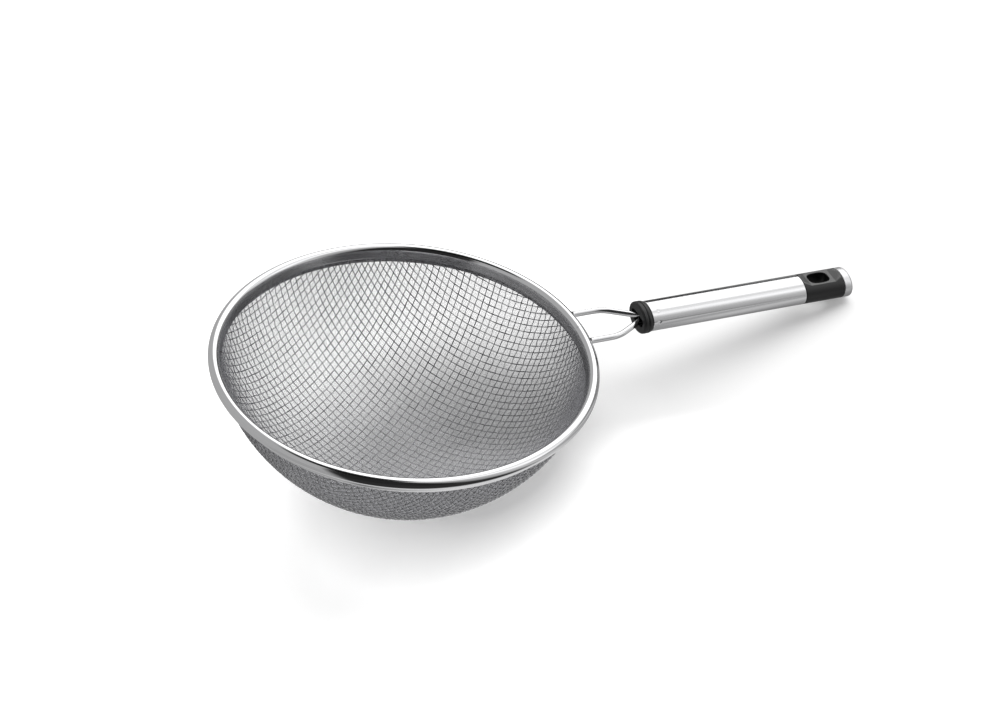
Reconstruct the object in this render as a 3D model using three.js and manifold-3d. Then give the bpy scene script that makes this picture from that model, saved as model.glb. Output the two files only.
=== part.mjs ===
// Kitchen strainer: a round bowl of two wire mesh layers, held in a folded steel rim, with a fork of two
// rods and an oval handle. Millimetres, +Z up. The strainer lies as it does on a worktop, on the bottom of
// its bowl and on the end of its handle, and the handle points along +X.
//
// Every piece is drawn in the rim's own frame: Z is the axis of the bowl, the centre of the rim's bead lies
// in the plane Z = 0, and the axis of the handle is the X axis. The whole is then tilted to rest.

import * as THREE from 'three';
import { mergeVertices } from 'three/addons/utils/BufferGeometryUtils.js';
import Module from 'manifold-3d';

// Rim and bowl
const rimDiameter = 200;
const beadDiameter = 5.8;
const sheetThickness = 0.4;
const innerLegLength = 4.6;
const outerLegLength = 7.4;
const bowlDepth = 76.5;
const fineLayerThickness = 0.45;
const coarseWireDiameter = 0.5;
const coarseWirePitch = 10;
const coarseLayerThickness = 1.1;
const crossingPress = 0.2;
const weaveTurn = THREE.MathUtils.degToRad(45);

// Fork: two rods from the bead to the handle
const rodDiameter = 3;
const forkWidth = 23.6;
const forkNeckWidth = 3.6;
const forkLength = 34;
const forkLean = THREE.MathUtils.degToRad(29);
const rodBendRadius = 8;
const rodTangLength = 18;

// Handle
const handleWidth = 19.2;
const handleHeight = 14.6;
const ferruleStart = 31.2;
const ferruleHeadLength = 5.8;
const ferruleLip = 0.6;
const ferruleEdgeRadius = 3;
const ferruleSpigotLength = 20;
const mouthWidth = 13;
const mouthHeight = 4.6;
const mouthDepth = 4.4;
const tubeLength = 92.4;
const tubeWall = 0.6;
const tailLength = 23.8;
const tailSpigotLength = 16;
const landDepth = 1.4;
const landLength = 21;
const landEndRadius = 3;
const hangHoleLength = 12;
const hangHoleWidth = 8.6;
const hangHoleCorner = 3.4;
const hangHoleStart = 5;
const capLength = 5.2;
const capEdgeRadius = 1.8;
const capBossWidth = 8;
const capBossHeight = 5;
const capBossLength = 3.2;

// Gap left between pieces that touch
const fit = 0.2;

// How far a cut runs past the face that it opens, and the straight left between the two arcs of a round end
const cutPast = 1;
const arcGap = 0.02;

// Facets
const turnSteps = 60;
const ovalSteps = 36;
const beadSteps = 12;
const bowlSteps = 8;
const rodSides = 10;
const rodSteps = 24;
const edgeSteps = 4;
const arcSteps = 6;

// Points closer than this are one point, and the rounds of halving that find the lean of the wall
const weldDistance = 1e-5;
const leanHalvings = 50;

const wasm = await Module();
wasm.setup();

function toSolid(geometry) {
  const bare = geometry.clone();
  bare.deleteAttribute('normal');
  bare.deleteAttribute('uv');
  const merged = mergeVertices(bare, weldDistance);
  return new wasm.Manifold(new wasm.Mesh({
    numProp: 3,
    vertProperties: Float32Array.from(merged.attributes.position.array),
    triVerts: Uint32Array.from(merged.index.array),
  }));
}

function toGeometry(solid) {
  const mesh = solid.getMesh();
  const geometry = new THREE.BufferGeometry();
  geometry.setAttribute('position', new THREE.BufferAttribute(mesh.vertProperties, 3));
  geometry.setIndex(new THREE.BufferAttribute(mesh.triVerts, 1));
  geometry.computeVertexNormals();
  return geometry;
}

// Turns a profile of (radius, height) points about the Z axis.
function revolve(profile) {
  const points = profile.map(([radius, height]) => new THREE.Vector2(radius, height));
  return new THREE.LatheGeometry(points, turnSteps).rotateX(Math.PI / 2);
}

// Lofts ovals along X through stations of (x, half width, half height). A closed loft joins its last oval to
// its first and is a tube; an open one is capped at both ends.
function ovalLoft(stations, closed = false) {
  const positions = [];
  const triangles = [];
  for (const [x, halfWidth, halfHeight] of stations) {
    for (let step = 0; step < ovalSteps; step += 1) {
      const turn = (2 * Math.PI * step) / ovalSteps;
      positions.push(x, halfWidth * Math.cos(turn), halfHeight * Math.sin(turn));
    }
  }
  const bands = closed ? stations.length : stations.length - 1;
  for (let band = 0; band < bands; band += 1) {
    const near = band * ovalSteps;
    const far = ((band + 1) % stations.length) * ovalSteps;
    for (let step = 0; step < ovalSteps; step += 1) {
      const next = (step + 1) % ovalSteps;
      triangles.push(near + step, near + next, far + next);
      triangles.push(near + step, far + next, far + step);
    }
  }
  if (!closed) {
    const first = 0;
    const last = (stations.length - 1) * ovalSteps;
    for (let step = 1; step < ovalSteps - 1; step += 1) {
      triangles.push(first, first + step + 1, first + step);
      triangles.push(last, last + step, last + step + 1);
    }
  }
  const geometry = new THREE.BufferGeometry();
  geometry.setAttribute('position', new THREE.Float32BufferAttribute(positions, 3));
  geometry.setIndex(triangles);
  geometry.computeVertexNormals();
  return geometry;
}

// Stations of a rounded oval edge: from the full size at x back to the full size less the radius at xEnd.
function roundedEdge(xFull, xEnd, halfWidth, halfHeight, radius) {
  const stations = [];
  for (let step = 0; step <= edgeSteps; step += 1) {
    const turn = (Math.PI / 2) * (step / edgeSteps);
    const inset = radius * (1 - Math.cos(turn));
    stations.push([xFull + (xEnd - xFull) * Math.sin(turn), halfWidth - inset, halfHeight - inset]);
  }
  return stations;
}

// A rounded rectangle in the plane of its two axes, centred on (x, y).
function roundedRectangle(x, y, width, height, corner) {
  const left = x - width / 2;
  const right = x + width / 2;
  const bottom = y - height / 2;
  const top = y + height / 2;
  const shape = new THREE.Shape();
  shape.moveTo(left + corner, bottom);
  shape.lineTo(right - corner, bottom);
  shape.absarc(right - corner, bottom + corner, corner, -Math.PI / 2, 0);
  shape.lineTo(right, top - corner);
  shape.absarc(right - corner, top - corner, corner, 0, Math.PI / 2);
  shape.lineTo(left + corner, top);
  shape.absarc(left + corner, top - corner, corner, Math.PI / 2, Math.PI);
  shape.lineTo(left, bottom + corner);
  shape.absarc(left + corner, bottom + corner, corner, Math.PI, 1.5 * Math.PI);
  return shape;
}

// A slot that runs along X from xStart to xEnd, with a width along Y, a height along Z and round ends.
function slotAlongX(xStart, xEnd, width, height) {
  const shape = roundedRectangle(0, 0, width, height, (height - arcGap) / 2);
  const depth = xEnd - xStart;
  return new THREE.ExtrudeGeometry(shape, { depth, bevelEnabled: false, curveSegments: arcSteps })
    .rotateY(Math.PI / 2)
    .rotateX(Math.PI / 2)
    .translate(xStart, 0, 0);
}

// Layout of the rim's clamp. Across the wall, measured outwards from the centre of the bead: the inner leg,
// the fine layer, the coarse layer and the outer leg, with a fit between them.
const beadRadius = beadDiameter / 2;
const beadCentre = rimDiameter / 2 - beadRadius;
const beadBore = beadRadius - sheetThickness;
const coreRadius = beadBore - fit;
const coarseWireRadius = coarseWireDiameter / 2;
const weaveSwing = coarseWireRadius * (1 - crossingPress);
const innerLegFace = -beadRadius;
const innerLegBack = innerLegFace + sheetThickness;
const fineInside = innerLegBack + fit;
const fineOutside = fineInside + fineLayerThickness;
const coarseInside = fineOutside + fit;
const coarseOutside = coarseInside + coarseLayerThickness;
const outerLegBack = coarseOutside + fit;
const outerLegFace = outerLegBack + sheetThickness;
const clampMiddle = (Math.sqrt(coreRadius ** 2 - coarseOutside ** 2) + outerLegLength) / 2;

// The bowl is part of a ball. For a lean of the wall in the clamp, this is how high the ball's centre lies
// above the rim so that its bottom is at the bowl's depth and its side touches the clamp.
function ballCentreHeight(lean) {
  return (coarseOutside + beadCentre * Math.cos(lean) - bowlDepth) / (1 - Math.sin(lean));
}

// The lean at which the ball touches the clamp half-way down it, found by halving an interval.
function wallLean() {
  let low = -Math.PI / 4;
  let high = Math.PI / 3;
  for (let round = 0; round < leanHalvings; round += 1) {
    const lean = (low + high) / 2;
    const touch = beadCentre * Math.sin(lean) - ballCentreHeight(lean) * Math.cos(lean);
    if (touch < clampMiddle) {
      low = lean;
    } else {
      high = lean;
    }
  }
  return (low + high) / 2;
}

const lean = wallLean();
const ballHeight = ballCentreHeight(lean);
const ballRadius = bowlDepth + ballHeight;

// A point of the clamp as (radius, height), from its place across the wall and its depth down the wall.
function clampPoint(across, down) {
  return [
    beadCentre + across * Math.cos(lean) - down * Math.sin(lean),
    -across * Math.sin(lean) - down * Math.cos(lean),
  ];
}

// Angle on the ball, from its bottom, of a place that lies this far down the clamp.
function ballAngle(down) {
  return Math.PI / 2 - lean + (clampMiddle - down) / ballRadius;
}

// Rim band: one strip of sheet, folded round the core wire into a bead with two legs.
function rimBand() {
  const outerJoin = Math.atan2(Math.sqrt(beadRadius ** 2 - outerLegFace ** 2), outerLegFace);
  const innerJoin = Math.atan2(Math.sqrt(beadBore ** 2 - outerLegBack ** 2), outerLegBack);
  const profile = [clampPoint(outerLegFace, outerLegLength)];
  for (let step = 0; step <= beadSteps; step += 1) {
    const turn = THREE.MathUtils.lerp(outerJoin, -Math.PI, step / beadSteps);
    profile.push(clampPoint(beadRadius * Math.cos(turn), beadRadius * Math.sin(turn)));
  }
  profile.push(clampPoint(innerLegFace, innerLegLength));
  profile.push(clampPoint(innerLegBack, innerLegLength));
  for (let step = 0; step <= beadSteps; step += 1) {
    const turn = THREE.MathUtils.lerp(-Math.PI, innerJoin, step / beadSteps);
    profile.push(clampPoint(beadBore * Math.cos(turn), beadBore * Math.sin(turn)));
  }
  profile.push(clampPoint(outerLegBack, outerLegLength));
  profile.push(profile[0]);
  return revolve(profile);
}

// Core wire: the ring that the bead is folded round.
function rimCoreWire() {
  const profile = [];
  for (let step = 0; step <= beadSteps; step += 1) {
    const turn = (-2 * Math.PI * step) / beadSteps;
    profile.push(clampPoint(coreRadius * Math.cos(turn), coreRadius * Math.sin(turn)));
  }
  return revolve(profile);
}

// Both layers end in the clamp, just below the core wire.
const meshTop = Math.sqrt(coreRadius ** 2 - coarseOutside ** 2) + fit;

// Fine layer: the inner skin of the bowl.
function fineMesh() {
  const outside = ballRadius - (coarseOutside - fineOutside);
  const inside = outside - fineLayerThickness;
  const profile = [];
  for (let step = 0; step <= bowlSteps; step += 1) {
    const angle = ballAngle(meshTop) * (step / bowlSteps);
    profile.push([outside * Math.sin(angle), ballHeight - outside * Math.cos(angle)]);
  }
  for (let step = bowlSteps; step >= 0; step -= 1) {
    const angle = ballAngle(meshTop) * (step / bowlSteps);
    profile.push([inside * Math.sin(angle), ballHeight - inside * Math.cos(angle)]);
  }
  return revolve(profile);
}

// Crossings of a net laid on the ball. Two wires cross at the bottom and run up the ball's sides, and each
// further crossing lies one pitch from the two before it, as woven wire does when it is pressed to a bowl.
// The net is turned so that its wires run slanting to the handle.
function netCrossings(reach) {
  const step = coarseWirePitch / ballRadius;
  const crossings = new Map();
  const place = (column, row, direction) => crossings.set(`${column},${row}`, direction);
  const at = (column, row) => crossings.get(`${column},${row}`);
  for (let index = 0; index <= reach; index += 1) {
    const side = Math.sin(index * step);
    const down = -Math.cos(index * step);
    place(index, 0, new THREE.Vector3(side, 0, down));
    place(0, index, new THREE.Vector3(0, side, down));
  }
  for (let column = 1; column <= reach; column += 1) {
    for (let row = 1; row <= reach; row += 1) {
      const before = at(column - 1, row);
      const beside = at(column, row - 1);
      const middle = before.clone().add(beside).multiplyScalar(Math.cos(step) / (1 + before.dot(beside)));
      const rise = Math.sqrt(Math.max(0, 1 - middle.lengthSq()));
      const normal = beside.clone().cross(before).normalize();
      const back = at(column - 1, row - 1);
      const one = middle.clone().addScaledVector(normal, rise);
      const other = middle.clone().addScaledVector(normal, -rise);
      place(column, row, one.distanceTo(back) > other.distanceTo(back) ? one : other);
    }
  }
  const axis = new THREE.Vector3(0, 0, 1);
  return (column, row) => {
    const direction = at(Math.abs(column), Math.abs(row)).clone();
    direction.x *= Math.sign(column) || 1;
    direction.y *= Math.sign(row) || 1;
    return direction.applyAxisAngle(axis, weaveTurn);
  };
}

// The four corners of one opening of the net, half a wire in from the crossings round it.
function openingCorners(crossings) {
  const [first, second, third, fourth] = crossings;
  const slant = second.clone().sub(first).normalize().cross(fourth.clone().sub(first).normalize()).length();
  const inset = coarseWireRadius / (coarseWirePitch * slant);
  return [[inset, inset], [1 - inset, inset], [1 - inset, 1 - inset], [inset, 1 - inset]]
    .map(([along, up]) => first.clone().multiplyScalar((1 - along) * (1 - up))
      .addScaledVector(second, along * (1 - up))
      .addScaledVector(third, along * up)
      .addScaledVector(fourth, (1 - along) * up)
      .normalize());
}

// Coarse layer: the outer net, with its wires pressed into each other where they cross. A wire has four
// sides: they run from a ridge outside and a ridge inside to the openings beside it. The net runs past the
// clamp's depth, where the last wires are closed by a wall, and is cut off level there.
function coarseMesh() {
  const topAngle = ballAngle(meshTop);
  const spareWires = 2;
  const reach = Math.ceil((topAngle * ballRadius) / coarseWirePitch) + spareWires;
  const crossing = netCrossings(reach);
  const ridge = coarseWireRadius + weaveSwing;
  const middle = ballRadius - ridge;
  const positions = [];
  const triangles = [];
  const addPoint = (direction, radius) => {
    const point = direction.clone().multiplyScalar(radius);
    positions.push(point.x, point.y, point.z + ballHeight);
    return positions.length / 3 - 1;
  };
  const ridges = new Map();
  const ridgeAt = (column, row) => {
    const key = `${column},${row}`;
    if (!ridges.has(key)) {
      const direction = crossing(column, row);
      ridges.set(key, [addPoint(direction, middle + ridge), addPoint(direction, middle - ridge)]);
    }
    return ridges.get(key);
  };
  const lastWires = new Map();
  for (let column = -reach; column < reach; column += 1) {
    for (let row = -reach; row < reach; row += 1) {
      const places = [[column, row], [column + 1, row], [column + 1, row + 1], [column, row + 1]];
      const around = places.map(([x, y]) => crossing(x, y));
      if (around.every((direction) => Math.acos(-direction.z) >= topAngle)) {
        continue;
      }
      const opening = openingCorners(around).map((direction) => addPoint(direction, middle));
      for (let here = 0; here < 4; here += 1) {
        const next = (here + 1) % 4;
        const [outHere, inHere] = ridgeAt(...places[here]);
        const [outNext, inNext] = ridgeAt(...places[next]);
        triangles.push(inHere, inNext, opening[next], inHere, opening[next], opening[here]);
        triangles.push(outNext, outHere, opening[here], outNext, opening[here], opening[next]);
        const shared = `${Math.min(outHere, outNext)},${Math.max(outHere, outNext)}`;
        if (!lastWires.delete(shared)) {
          lastWires.set(shared, [inNext, inHere, outHere, inNext, outHere, outNext]);
        }
      }
    }
  }
  triangles.push(...[...lastWires.values()].flat());
  const net = new THREE.BufferGeometry();
  net.setAttribute('position', new THREE.Float32BufferAttribute(positions, 3));
  net.setIndex(triangles);
  const top = ballHeight - ballRadius * Math.cos(topAngle);
  const bottom = top - rimDiameter;
  const below = revolve([[0, bottom], [rimDiameter, bottom], [rimDiameter, top], [0, top]]);
  return toGeometry(toSolid(net).intersect(toSolid(below)));
}

// Fork rod: straight out from the bead, a bend towards the handle, a bend back and a straight tang.
function forkRod(side) {
  const rodRadius = rodDiameter / 2;
  const halfWidth = forkWidth / 2;
  const halfNeck = forkNeckWidth / 2;
  const start = Math.sqrt((rimDiameter / 2) ** 2 - (halfWidth - rodRadius) ** 2) + fit;
  const neck = rimDiameter / 2 + forkLength;
  const shoulder = neck - (halfWidth - halfNeck) / Math.tan(forkLean);
  const tangEnd = neck + rodTangLength;
  const corners = [
    new THREE.Vector3(start, side * halfWidth, 0),
    new THREE.Vector3(shoulder, side * halfWidth, 0),
    new THREE.Vector3(neck, side * halfNeck, 0),
    new THREE.Vector3(tangEnd, side * halfNeck, 0),
  ];
  const bend = rodBendRadius * Math.tan(forkLean / 2);
  const path = new THREE.CurvePath();
  let from = corners[0];
  for (let index = 1; index < corners.length - 1; index += 1) {
    const corner = corners[index];
    const enter = corner.clone().add(corners[index - 1].clone().sub(corner).setLength(bend));
    const leave = corner.clone().add(corners[index + 1].clone().sub(corner).setLength(bend));
    path.add(new THREE.LineCurve3(from, enter));
    path.add(new THREE.QuadraticBezierCurve3(enter, corner, leave));
    from = leave;
  }
  path.add(new THREE.LineCurve3(from, corners[corners.length - 1]));
  const section = new THREE.Shape().absarc(0, 0, rodRadius, 0, 2 * Math.PI);
  return new THREE.ExtrudeGeometry(section, {
    steps: rodSteps,
    curveSegments: rodSides / 2,
    extrudePath: path,
  });
}

// Places along the handle
const halfWidth = handleWidth / 2;
const halfHeight = handleHeight / 2;
const boreHalfWidth = halfWidth - tubeWall;
const boreHalfHeight = halfHeight - tubeWall;
const ferruleFront = rimDiameter / 2 + ferruleStart;
const tubeStart = ferruleFront + ferruleHeadLength + fit;
const tubeEnd = tubeStart + tubeLength;
const tailStart = tubeEnd + fit;
const tailEnd = tailStart + tailLength;
const capStart = tailEnd + fit;
const capEnd = capStart + capLength;

// Front ferrule: a plug with a rounded oval head that swells past the tube, a mouth where the rods enter and
// a slot that grips them.
function frontFerrule() {
  const headHalfWidth = halfWidth + ferruleLip;
  const headHalfHeight = halfHeight + ferruleLip;
  const headEnd = ferruleFront + ferruleHeadLength;
  const edge = roundedEdge(
    ferruleFront + ferruleEdgeRadius, ferruleFront, headHalfWidth, headHalfHeight, ferruleEdgeRadius,
  ).reverse();
  const spigotEnd = headEnd + ferruleSpigotLength;
  const plug = ovalLoft([
    ...edge,
    [headEnd, halfWidth, halfHeight],
    [headEnd, boreHalfWidth - fit, boreHalfHeight - fit],
    [spigotEnd, boreHalfWidth - fit, boreHalfHeight - fit],
  ]);
  const slotWidth = forkNeckWidth + rodDiameter + 2 * fit;
  const slotHeight = rodDiameter + 2 * fit;
  const slot = slotAlongX(ferruleFront - cutPast, spigotEnd + cutPast, slotWidth, slotHeight);
  const mouth = slotAlongX(ferruleFront - cutPast, ferruleFront + mouthDepth, mouthWidth, mouthHeight);
  return toGeometry(toSolid(plug).subtract(toSolid(slot)).subtract(toSolid(mouth)));
}

// Handle tube: a plain oval tube, open at both ends.
function handleTube() {
  return ovalLoft([
    [tubeStart, halfWidth, halfHeight],
    [tubeEnd, halfWidth, halfHeight],
    [tubeEnd, boreHalfWidth, boreHalfHeight],
    [tubeStart, boreHalfWidth, boreHalfHeight],
  ], true);
}

// Tail piece: carries on the tube's oval, with a flat land above and below, the hanging hole through both,
// a spigot in the tube and a pocket for the boss of the cap.
function tailPiece() {
  const body = ovalLoft([
    [tubeEnd - tailSpigotLength, boreHalfWidth - fit, boreHalfHeight - fit],
    [tailStart, boreHalfWidth - fit, boreHalfHeight - fit],
    [tailStart, halfWidth, halfHeight],
    [tailEnd, halfWidth, halfHeight],
  ]);
  const landWidth = 2 * (halfWidth + cutPast);
  const landShape = roundedRectangle(tailStart, 0, 2 * landLength, landWidth, landEndRadius);
  const landCut = new THREE.ExtrudeGeometry(landShape, {
    depth: landDepth + cutPast, bevelEnabled: false, curveSegments: edgeSteps,
  });
  const upperLand = landCut.clone().translate(0, 0, halfHeight - landDepth);
  const lowerLand = landCut.clone().translate(0, 0, -halfHeight - cutPast);
  const holeCentre = tailStart + hangHoleStart + hangHoleLength / 2;
  const hole = new THREE.ExtrudeGeometry(
    roundedRectangle(holeCentre, 0, hangHoleLength, hangHoleWidth, hangHoleCorner),
    { depth: handleHeight + 2 * cutPast, bevelEnabled: false, curveSegments: arcSteps },
  ).translate(0, 0, -halfHeight - cutPast);
  const pocket = ovalLoft([
    [tailEnd - capBossLength, capBossWidth / 2 + fit, capBossHeight / 2 + fit],
    [tailEnd + cutPast, capBossWidth / 2 + fit, capBossHeight / 2 + fit],
  ]);
  return toGeometry([upperLand, lowerLand, hole, pocket]
    .reduce((solid, cut) => solid.subtract(toSolid(cut)), toSolid(body)));
}

// End cap: an oval button with a rounded rim and a boss that plugs into the tail piece.
function endCap() {
  return ovalLoft([
    [capStart - capBossLength, capBossWidth / 2, capBossHeight / 2],
    [capStart, capBossWidth / 2, capBossHeight / 2],
    [capStart, halfWidth, halfHeight],
    ...roundedEdge(capEnd - capEdgeRadius, capEnd, halfWidth, halfHeight, capEdgeRadius),
  ]);
}

function steel(color, roughness) {
  return new THREE.MeshStandardMaterial({ color, roughness, metalness: 1 });
}

function plastic(color, roughness) {
  return new THREE.MeshStandardMaterial({ color, roughness, metalness: 0 });
}

const pieces = [
  ['rim_band', rimBand(), steel(0xd8d8d8, 0.12)],
  ['rim_core_wire', rimCoreWire(), steel(0xb8b8b8, 0.35)],
  ['fine_mesh', fineMesh(), steel(0xc4c4c8, 0.4)],
  ['coarse_mesh', coarseMesh(), steel(0xa8a8ac, 0.35)],
  ['fork_wire_left', forkRod(1), steel(0xcfcfcf, 0.2)],
  ['fork_wire_right', forkRod(-1), steel(0xcfcfcf, 0.2)],
  ['front_ferrule', frontFerrule(), plastic(0x2c2c2c, 0.4)],
  ['handle_tube', handleTube(), steel(0xd4d4d4, 0.25)],
  ['tail_piece', tailPiece(), plastic(0x262626, 0.4)],
  ['end_cap', endCap(), steel(0xc8c8c8, 0.3)],
];

const strainer = new THREE.Group();
for (const [name, geometry, material] of pieces) {
  const mesh = new THREE.Mesh(geometry, material);
  mesh.name = name;
  strainer.add(mesh);
}

// Rest: the ball of the bowl and the rounded lower edge of the cap touch the same level.
const edgeX = capEnd - capEdgeRadius;
const edgeDrop = ballHeight + halfHeight - capEdgeRadius;
const edgeTurn = Math.asin((ballRadius - capEdgeRadius) / Math.hypot(edgeX, edgeDrop));
const restAngle = edgeTurn - Math.atan2(edgeDrop, edgeX);
strainer.rotation.y = restAngle;
const box = new THREE.Box3().setFromObject(strainer, true);
strainer.position.set(-(box.min.x + box.max.x) / 2, 0, -box.min.z);

const part = new THREE.Group();
part.add(strainer);

export default part;
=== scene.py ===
import bpy
import numpy as np
from mathutils import Matrix, Vector


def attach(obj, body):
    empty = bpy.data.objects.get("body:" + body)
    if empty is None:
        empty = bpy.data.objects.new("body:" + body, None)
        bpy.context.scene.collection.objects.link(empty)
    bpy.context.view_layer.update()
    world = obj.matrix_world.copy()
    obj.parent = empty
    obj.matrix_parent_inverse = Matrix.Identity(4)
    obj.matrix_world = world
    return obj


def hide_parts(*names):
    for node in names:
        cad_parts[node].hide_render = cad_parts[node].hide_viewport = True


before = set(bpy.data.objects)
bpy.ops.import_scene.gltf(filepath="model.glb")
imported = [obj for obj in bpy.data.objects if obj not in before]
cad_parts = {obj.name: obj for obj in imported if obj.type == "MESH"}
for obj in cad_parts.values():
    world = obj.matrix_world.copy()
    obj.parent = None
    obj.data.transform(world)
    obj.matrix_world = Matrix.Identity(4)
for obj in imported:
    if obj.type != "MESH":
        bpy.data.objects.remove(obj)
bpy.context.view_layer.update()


# Rim band: a strip of polished stainless sheet, folded round a core wire into a bead. Its short leg inside
# the bowl and its longer leg outside clamp the two meshes, and its ends meet in a butt seam by the handle.
REST_TILT = np.radians(15.8544)
REST_PLACE = np.array([-77.2002, 0.0, 77.3504])
MILLIMETRE = 0.001


def at_rest(points):
    """Points in millimetres in the rim's frame, where Z is the bowl's axis and X the handle's, tilted about
    Y by x' = x cos + z sin and z' = z cos - x sin, moved to the resting place and given in metres."""
    x, y, z = np.moveaxis(np.asarray(points, float), -1, 0)
    cos, sin = np.cos(REST_TILT), np.sin(REST_TILT)
    return (np.stack([x * cos + z * sin, y, z * cos - x * sin], -1) + REST_PLACE) * MILLIMETRE


def grid_faces(rows, columns, close_rows=False, close_columns=False):
    """Quads of a grid of points, row by row, and the place of each corner along the rows and columns, from
    0 to 1. A closed direction joins its last point to its first."""
    row_spans = rows if close_rows else rows - 1
    column_spans = columns if close_columns else columns - 1
    row, column = np.indices((row_spans, column_spans)).reshape(2, -1)
    corner_row = row[:, None] + np.array([0, 0, 1, 1])
    corner_column = column[:, None] + np.array([0, 1, 1, 0])
    faces = (corner_row % rows) * columns + corner_column % columns
    return faces, np.stack([corner_row / row_spans, corner_column / column_spans], -1)


def put_piece(name, points, faces, places, finish, node, map_name="along", ends=()):
    """A smooth mesh that stands for a CAD node, from points in the rim's frame, quads, a map of their
    corners, and end faces of any corner count. The sum of a . (b x c) over the quads' triangles is six times
    their volume, and where it is negative, every face is turned round."""
    points = np.reshape(points, (-1, 3))
    groups = [faces] + [np.reshape(end, (1, -1)) for end in ends]
    a, b, c, d = np.moveaxis(points[faces], 1, 0)
    if np.sum(a * (np.cross(b, c) + np.cross(c, d))) < 0:
        groups = [group[:, ::-1] for group in groups]
        places = places[:, ::-1]
    corners = np.concatenate([group.ravel() for group in groups])
    counts = np.concatenate([np.full(len(group), group.shape[1]) for group in groups])
    mesh = bpy.data.meshes.new(name)
    mesh.vertices.add(len(points))
    mesh.vertices.foreach_set("co", at_rest(points).ravel())
    mesh.loops.add(len(corners))
    mesh.loops.foreach_set("vertex_index", corners.astype(np.int32))
    mesh.polygons.add(len(counts))
    mesh.polygons.foreach_set("loop_start", (np.cumsum(counts) - counts).astype(np.int32))
    mesh.polygons.foreach_set("use_smooth", np.ones(len(counts), bool))
    spare = np.zeros((len(corners) - faces.size, 2))
    layer = mesh.uv_layers.new(name=map_name)
    layer.data.foreach_set("uv", np.concatenate([places.reshape(-1, 2), spare]).ravel())
    mesh.update()
    mesh.validate()
    mesh.materials.append(finish)
    piece = bpy.data.objects.new(name, mesh)
    bpy.context.scene.collection.objects.link(piece)
    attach(piece, "root")
    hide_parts(node)


def new_finish(name, colour, metallic, roughness):
    """A material with one principled shader of a plain look, and the tree and shader to add detail to."""
    finish = bpy.data.materials.new(name)
    finish.use_nodes = True
    shader = finish.node_tree.nodes["Principled BSDF"]
    shader.inputs["Base Color"].default_value = (*colour, 1)
    shader.inputs["Metallic"].default_value = metallic
    shader.inputs["Roughness"].default_value = roughness
    return finish, finish.node_tree, shader


def add_noise(tree, vector, scale, detail=3.0):
    """A noise that reads the vector stretched by the scale along each axis; gives its value socket."""
    stretch = tree.nodes.new("ShaderNodeMapping")
    stretch.inputs["Scale"].default_value = scale
    noise = tree.nodes.new("ShaderNodeTexNoise")
    noise.inputs["Scale"].default_value = 1.0
    noise.inputs["Detail"].default_value = detail
    tree.links.new(vector, stretch.inputs["Vector"])
    tree.links.new(stretch.outputs["Vector"], noise.inputs["Vector"])
    return noise.outputs["Fac"]


NOISE_LOW = 0.3
NOISE_HIGH = 0.7


def add_range(tree, value, low, high, start=NOISE_LOW, stop=NOISE_HIGH):
    """Carries a value from start to stop on to low to high, and holds it there outside."""
    carry = tree.nodes.new("ShaderNodeMapRange")
    for socket, number in (("From Min", start), ("From Max", stop), ("To Min", low), ("To Max", high)):
        carry.inputs[socket].default_value = number
    tree.links.new(value, carry.inputs["Value"])
    return carry.outputs["Result"]


def add_tones(tree, value, dark, light):
    """A colour between a dark and a light tone, by the value of a noise."""
    ramp = tree.nodes.new("ShaderNodeValToRGB")
    ramp.color_ramp.elements[0].position = NOISE_LOW
    ramp.color_ramp.elements[1].position = NOISE_HIGH
    ramp.color_ramp.elements[0].color = (*dark, 1)
    ramp.color_ramp.elements[1].color = (*light, 1)
    tree.links.new(value, ramp.inputs["Fac"])
    return ramp.outputs["Color"]


def add_bump(tree, shader, height, depth, strength=1.0):
    """Raises the shader's surface by a height of this depth in metres."""
    bump = tree.nodes.new("ShaderNodeBump")
    bump.inputs["Strength"].default_value = strength
    bump.inputs["Distance"].default_value = depth
    tree.links.new(height, bump.inputs["Height"])
    tree.links.new(bump.outputs["Normal"], shader.inputs["Normal"])


def read_map(tree, map_name="along"):
    """The piece's own map, as a vector."""
    node = tree.nodes.new("ShaderNodeUVMap")
    node.uv_map = map_name
    return node.outputs["UV"]


BEAD_RADIUS = 2.9
BEAD_CENTRE = 97.1
SHEET = 0.4
WALL_LEAN = np.radians(15.8)
INNER_LEG = 4.6
OUTER_LEG = 7.4
OUTER_LEG_FACE = 0.055
LEG_FILLET = 0.5
RIM_SEAM = np.radians(-1.2)
RIM_SEAM_DEPTH = 0.1
RIM_SEAM_WIDTH = np.radians(0.05)
RIM_STEPS = 360
# Painted shade on the rim's inner leg: the share its colour is scaled down to, and where along the section
# it starts.
INNER_LEG_SHADE = 0.62
INNER_LEG_SHADE_FROM = (0.645, 0.665)
STEEL_DARK = (0.74, 0.74, 0.75)
STEEL_LIGHT = (0.84, 0.84, 0.85)
RIM_LINES = (30.0, 260.0, 1.0)
RIM_LINE_DEPTH = 0.000004
RIM_HAZE = (60.0, 6.0, 1.0)
RIM_ROUGH = (0.05, 0.13)


def arc(centre, radius, start, stop, count):
    """Points on a circle round a centre in the clamp's (across, down) plane, from start to stop degrees."""
    turn = np.radians(np.linspace(start, stop, count))
    return np.stack([centre[0] + radius * np.cos(turn), centre[1] + radius * np.sin(turn)], -1)


def line(start, stop, count):
    """Points on a straight line between two points, without its ends."""
    share = np.linspace(0, 1, count + 2)[1:-1, None]
    return np.asarray(start) * (1 - share) + np.asarray(stop) * share


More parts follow.
